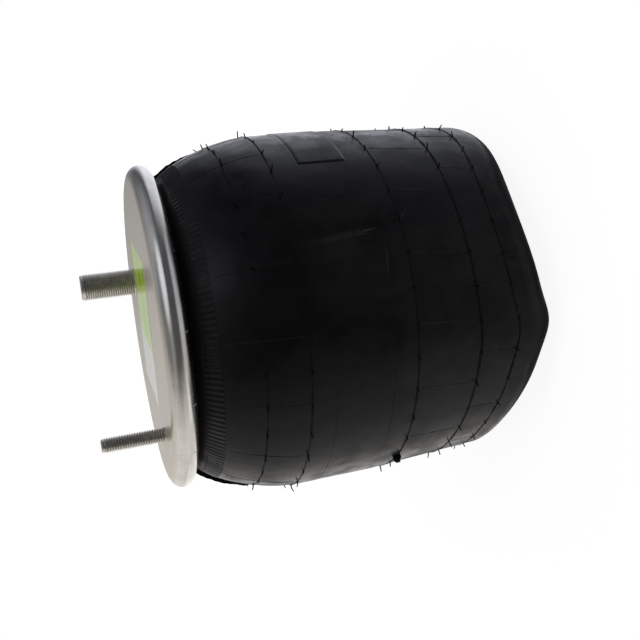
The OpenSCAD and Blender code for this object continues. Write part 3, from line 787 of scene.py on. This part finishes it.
# Piston: a pressed steel shell with a dished foot plate welded in, black dip-painted, and the
# closure disc, bolt, washer and nut that clamp the lower bead on it. Weld nuts take the fixing bolts.
PAINT_BLACK, PAINT_WORN = (0.016, 0.016, 0.017, 1), (0.040, 0.040, 0.041, 1)
PAINT_CLOUDS, RUBBED_TONE, PAINT_PEEL = 38, (0.5, 0.72), 420
PAINT_ROUGH, RUBBED_ROUGH = 0.34, 0.2
PAINT_BUMP, PAINT_BUMP_SHARE = 0.12 * MM, 0.3
WIRE_DARK, WIRE_BRIGHT = (0.32, 0.22, 0.11, 1), (0.55, 0.42, 0.24, 1)
FASTENER_ROUGH, WIRE_ROUGH = 0.33, 0.38
STOP_ROUGH, STOP_SPECULAR = 0.45, 0.3


def paint_finish(name):
    """Dip paint on pressed steel: even black with a soft orange peel and dull rubbed clouds."""
    material, place = new_finish(name)
    rubbed = place.noise(PAINT_CLOUDS, detail=5.0).step(*RUBBED_TONE)
    peel = place.noise(PAINT_PEEL, detail=2.0)
    coat(place, Base_Color=rubbed.between(PAINT_BLACK, PAINT_WORN),
         Roughness=PAINT_ROUGH + rubbed * RUBBED_ROUGH,
         Normal=peel.bump(PAINT_BUMP, PAINT_BUMP_SHARE))
    return material


def dress(material, *names):
    """Gives CAD nodes that stay in view one material."""
    for name in names:
        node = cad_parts[name]
        node.data.materials.clear()
        node.data.materials.append(material)


paint = paint_finish("dip_paint")
fastener_zinc = zinc_finish("zinc_fasteners", ZINC_DULL, ZINC_BRIGHT, FASTENER_ROUGH)
wire_coat = zinc_finish("bead_wire_coat", WIRE_DARK, WIRE_BRIGHT, WIRE_ROUGH)
stop_rubber = rubber_finish("bump_rubber", RUBBER_BLACK, RUBBER_DUSTY, STOP_ROUGH, STOP_SPECULAR)
dress(paint, "piston_shell", "piston_base", "end_closure")
dress(fastener_zinc, "base_weld_nuts", "piston_washer", "piston_nut")
dress(wire_coat, "upper_bead_wire", "lower_bead_wire")
dress(stop_rubber, "bump_stop", "closure_seal")

# Threads and weld of the foot: the piston bolt's rolled thread, the cut threads in the four
# weld nuts, and the weld bead that joins the foot plate to the shell.
BOLT_PITCH = INCH_MM / 13 * MM
BOLT_DEPTH = 0.5 * BOLT_PITCH
bolt_r, bolt_chamfer, bolt_thread_l = 6.35 * MM, 1.0 * MM, 30 * MM
collar_r, collar_h, stem_r = 14 * MM, 4 * MM, 9 * MM
knob_r, knob_from, knob_edge, knob_round = 17 * MM, 12 * MM, 14 * MM, 4 * MM
KNOB_STEPS = 8
NUT_THREAD_DEPTH, NUT_THREAD_BACK = 0.45 * MM, 0.05 * MM
NUT_LEAD_LOW, NUT_LEAD_TOP = 3 * MM, 1 * MM
foot_hole_r, foot_circle_r, foot_holes = 5.4 * MM, 52 * MM, 4
WELD_R, WELD_SUNK, WELD_RIPPLES = 1.25 * MM, 0.2 * MM, 150
WELD_LOW, WELD_CREST, WELD_ROUND = 0.72, 0.28, 3.2
WELD_WANDER, WELD_WAVES = 0.06, 7
WELD_COLUMNS, WELD_SIDES = 900, 8
bolt_low, bolt_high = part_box("piston_bolt")
closure_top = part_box("end_closure")[1].z
base_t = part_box("piston_shell")[0].z
piston_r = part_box("piston_shell")[1].x
nut_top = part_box("base_weld_nuts")[1].z

bolt_turn = np.linspace(0, FULL_TURN, STUD_COLUMNS)
thread_end = bolt_low.z + bolt_thread_l
thread_r, thread_z = thread(bolt_r, BOLT_DEPTH, BOLT_PITCH, bolt_low.z, thread_end, bolt_turn)
head_profile = np.array([
    (bolt_r, 0), (collar_r, 0), (collar_r, collar_h), (stem_r, collar_h),
    (stem_r, knob_from), (knob_r, knob_from), (knob_r, knob_edge)]) + (0, closure_top)
knob_profile = arc(knob_r - knob_round, bolt_high.z - knob_round, knob_round, 0, QUARTER, KNOB_STEPS)
bolt_points = turn_rows([
    flat_rows([(0, bolt_low.z)], bolt_turn),
    (np.minimum(thread_r, bolt_r - bolt_chamfer + thread_z - bolt_low.z), thread_z),
    flat_rows([(bolt_r, thread_end)], bolt_turn),
    flat_rows(head_profile, bolt_turn),
    flat_rows(knob_profile, bolt_turn),
    flat_rows([(0, bolt_high.z)], bolt_turn)], bolt_turn)
bolt = make_piece("piston_bolt_turned", (bolt_points, ""))
bolt.data.materials.append(fastener_zinc)
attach(bolt, "piston")
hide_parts("piston_bolt")

nut_low, nut_high = base_t - NUT_LEAD_LOW, nut_top - NUT_LEAD_TOP
nut_back_r = foot_hole_r + NUT_THREAD_BACK
nut_rows = [thread(foot_hole_r, NUT_THREAD_DEPTH, BOLT_PITCH, nut_low, nut_high, bolt_turn),
            flat_rows([(nut_back_r, nut_high), (nut_back_r, nut_low)], bolt_turn)]
nut_turn = np.arange(foot_holes)[:, None, None] * QUARTER
nut_x, nut_y = foot_circle_r * np.cos(nut_turn), foot_circle_r * np.sin(nut_turn)
nut_points = turn_rows(nut_rows, bolt_turn, nut_x, nut_y)
nut_threads = make_piece("foot_nut_threads", (nut_points, "rows"))
nut_threads.data.materials.append(fastener_zinc)
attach(nut_threads, "piston")

weld_turn = np.linspace(0, FULL_TURN, WELD_COLUMNS, endpoint=False)[None]
weld_side = np.linspace(0, FULL_TURN, WELD_SIDES, endpoint=False)[:, None]
ripple = (weld_turn * WELD_RIPPLES / FULL_TURN) % 1
weld_crest = WELD_CREST * np.sqrt(1 - (ripple - 0.5) ** 2 * WELD_ROUND)
weld_size = WELD_R * (WELD_LOW + weld_crest + WELD_WANDER * np.sin(WELD_WAVES * weld_turn))
weld_r = piston_r - WELD_SUNK + weld_size * np.cos(weld_side)
weld_z = base_t + weld_size * np.sin(weld_side)
weld_points = np.stack((weld_r * np.cos(weld_turn), weld_r * np.sin(weld_turn), weld_z), -1)[None]
weld = make_piece("foot_weld", (weld_points, "rows columns"))
weld.data.materials.append(paint)
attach(weld, "piston")

# Floor, lamps, backdrop and camera: an evenly lit white studio, with the part standing on
# its foot. Light comes from large soft boxes at both sides and from above.
FLOOR_HALF, FLOOR_LINES = 4.0, 9
FLOOR_Z = -0.4 * MM
FLOOR_WHITE = (0.86, 0.86, 0.86, 1)
WHITE = (1, 1, 1, 1)
SHADOW_LIFT, FLOOR_GLOW = 0.8, 1.13
SHADOW_NEAR, SHADOW_FAR = 0.3, 0.8
# Each lamp: name, place, size and power.
LAMP_BOXES = (("side_box_a", (0.50, -1.30, 0.30), 1.2, 4.5),
              ("side_box_b", (0.15, 1.35, 0.20), 1.3, 4.5),
              ("top_box", (-0.75, -0.63, 1.26), 0.6, 3.0))
LAMP_AIM = np.array((0, 0, 0.12))
WORLD_FILL = 0.5
OPEN_SIDE, PANEL, SWEEP, TABLE, BOX, CEILING = 0.10, 0.67, 0.93, 0.45, 0.60, 0.30
PANEL_AIM, PANEL_FADE = (0.45, 0.85, -0.25), (-0.10, 0.75)
SWEEP_BACK, SWEEP_LOW = (-0.6, 0.8), (0.2, -0.15)
TABLE_EDGE, TABLE_SLANT = (-0.44, -0.26), 0.6
TABLE_DOWN, TABLE_FRONT = (-0.42, -0.7), (0.0, -0.5)
BOX_AIM, BOX_FADE = (-0.47, -0.40, 0.79), (0.87, 0.98)
CEILING_AIM, CEILING_FADE = (0, -0.15, 1), (0.30, 0.95)
ZENITH_FADE, ZENITH_DIM = (0.84, 0.97), 0.6
COOL, WARM, TINT_FADE = (0.94, 0.97, 1.07, 1), (1.03, 1.0, 0.97, 1), (-0.5, 0.5)
CAMERA_PLACE = np.array((-0.52378, -0.011737, 0.290439))
CAMERA_AHEAD = np.array((0.95364, 0.04227, -0.29795))
CAMERA_DOWN = np.array((0.0, 0.99009, 0.14046))
CAMERA_LENS, CAMERA_SENSOR = 42.197, 36


def floor_finish(name):
    """White floor that glows where the camera sees it, a little less round the part, so that its shadow
    stays. From below it is clear."""
    material, place = new_finish(name)
    x, y, _ = place.xyz()
    reach = (x * x + y * y).root()
    glow_share = SHADOW_LIFT + reach.step(SHADOW_NEAR, SHADOW_FAR) * (1 - SHADOW_LIFT)
    matt = place.node("BsdfDiffuse", {}, {"Color": FLOOR_WHITE})
    glow = place.node("Emission", {}, {"Color": WHITE, "Strength": FLOOR_GLOW})
    clear = place.node("BsdfTransparent")
    seen = place.node("LightPath", out="Is Camera Ray")
    below = place.node("NewGeometry", out="Backfacing")
    above = place.node("MixShader", {}, {0: seen * glow_share, 1: matt, 2: glow})
    shown = place.node("MixShader", {}, {0: below, 1: above, 2: clear})
    place.node("OutputMaterial", {}, {"Surface": shown})
    return material


def stand(item, right, up, back, place):
    """Puts a lamp or the camera at a place, with its own axes along right, up and back."""
    turned = np.column_stack((right, up, back, place))
    item.matrix_world = Matrix(np.vstack((turned, (0, 0, 0, 1))).tolist())


floor_edge = np.linspace(-FLOOR_HALF, FLOOR_HALF, FLOOR_LINES)
floor_x, floor_y = np.meshgrid(floor_edge, floor_edge)
floor_points = np.stack((floor_x, floor_y, np.full_like(floor_x, FLOOR_Z)), -1)[None]
floor = make_piece("floor", (floor_points, ""))
floor.data.materials.append(floor_finish("floor_white"))
floor.visible_glossy = False

for lamp_name, lamp_place, lamp_size, lamp_power in LAMP_BOXES:
    lamp = bpy.data.lights.new(lamp_name, "AREA")
    lamp.size, lamp.energy = lamp_size, lamp_power
    soft_box = bpy.data.objects.new(lamp_name, lamp)
    bpy.context.scene.collection.objects.link(soft_box)
    soft_box.visible_glossy = False
    lamp_back = np.array(lamp_place) - LAMP_AIM
    lamp_back = lamp_back / np.linalg.norm(lamp_back)
    lamp_right = np.cross((0, 0, 1), lamp_back)
    lamp_right = lamp_right / np.linalg.norm(lamp_right)
    stand(soft_box, lamp_right, np.cross(lamp_back, lamp_right), lamp_back, lamp_place)

world = bpy.data.worlds.new("studio")
bpy.context.scene.world = world
world.use_nodes = True
world.node_tree.nodes.clear()
# Shiny pieces mirror a soft map of directions: a panel, a sweep behind, a table, a box and a ceiling.
ray = Wire(world.node_tree).node("LightPath", out="Is Camera Ray")
direction = ray.node("TexCoord", out="Generated")
dx, dy, dz = direction.xyz()
panel = direction.towards(PANEL_AIM).step(*PANEL_FADE) * PANEL
sweep = dx.step(*SWEEP_BACK) * dz.step(*SWEEP_LOW) * SWEEP
over_table = (dz + dy.math("ABSOLUTE", dy) * TABLE_SLANT).step(*TABLE_EDGE)
table = dz.step(*TABLE_DOWN) * dx.step(*TABLE_FRONT) * TABLE
high_box = direction.towards(BOX_AIM).step(*BOX_FADE) * BOX
zenith = 1 - dz.step(*ZENITH_FADE) * ZENITH_DIM
ceiling = direction.towards(CEILING_AIM).step(*CEILING_FADE) * zenith * CEILING
level = OPEN_SIDE + panel.math("MAXIMUM", panel, sweep) * over_table + table + high_box + ceiling
fill = ray + ray.other("Is Transmission Ray") + ray.other("Is Diffuse Ray") * WORLD_FILL
backdrop = ray.node("Background", {}, {"Color": WHITE, "Strength": fill})
tint = dy.step(*TINT_FADE).between(COOL, WARM)
mirrored = ray.node("Background", {}, {"Color": tint, "Strength": level})
studio = ray.node("MixShader", {}, {0: ray.other("Is Glossy Ray"), 1: backdrop, 2: mirrored})
ray.node("OutputWorld", {}, {"Surface": studio})

camera = bpy.data.objects.new("camera", bpy.data.cameras.new("camera"))
bpy.context.scene.collection.objects.link(camera)
camera.data.lens = CAMERA_LENS
camera.data.sensor_width = CAMERA_SENSOR
stand(camera, np.cross(CAMERA_DOWN, CAMERA_AHEAD), -CAMERA_DOWN, -CAMERA_AHEAD, CAMERA_PLACE)
bpy.context.scene.camera = camera
bpy.context.scene.view_settings.view_transform = "Standard"
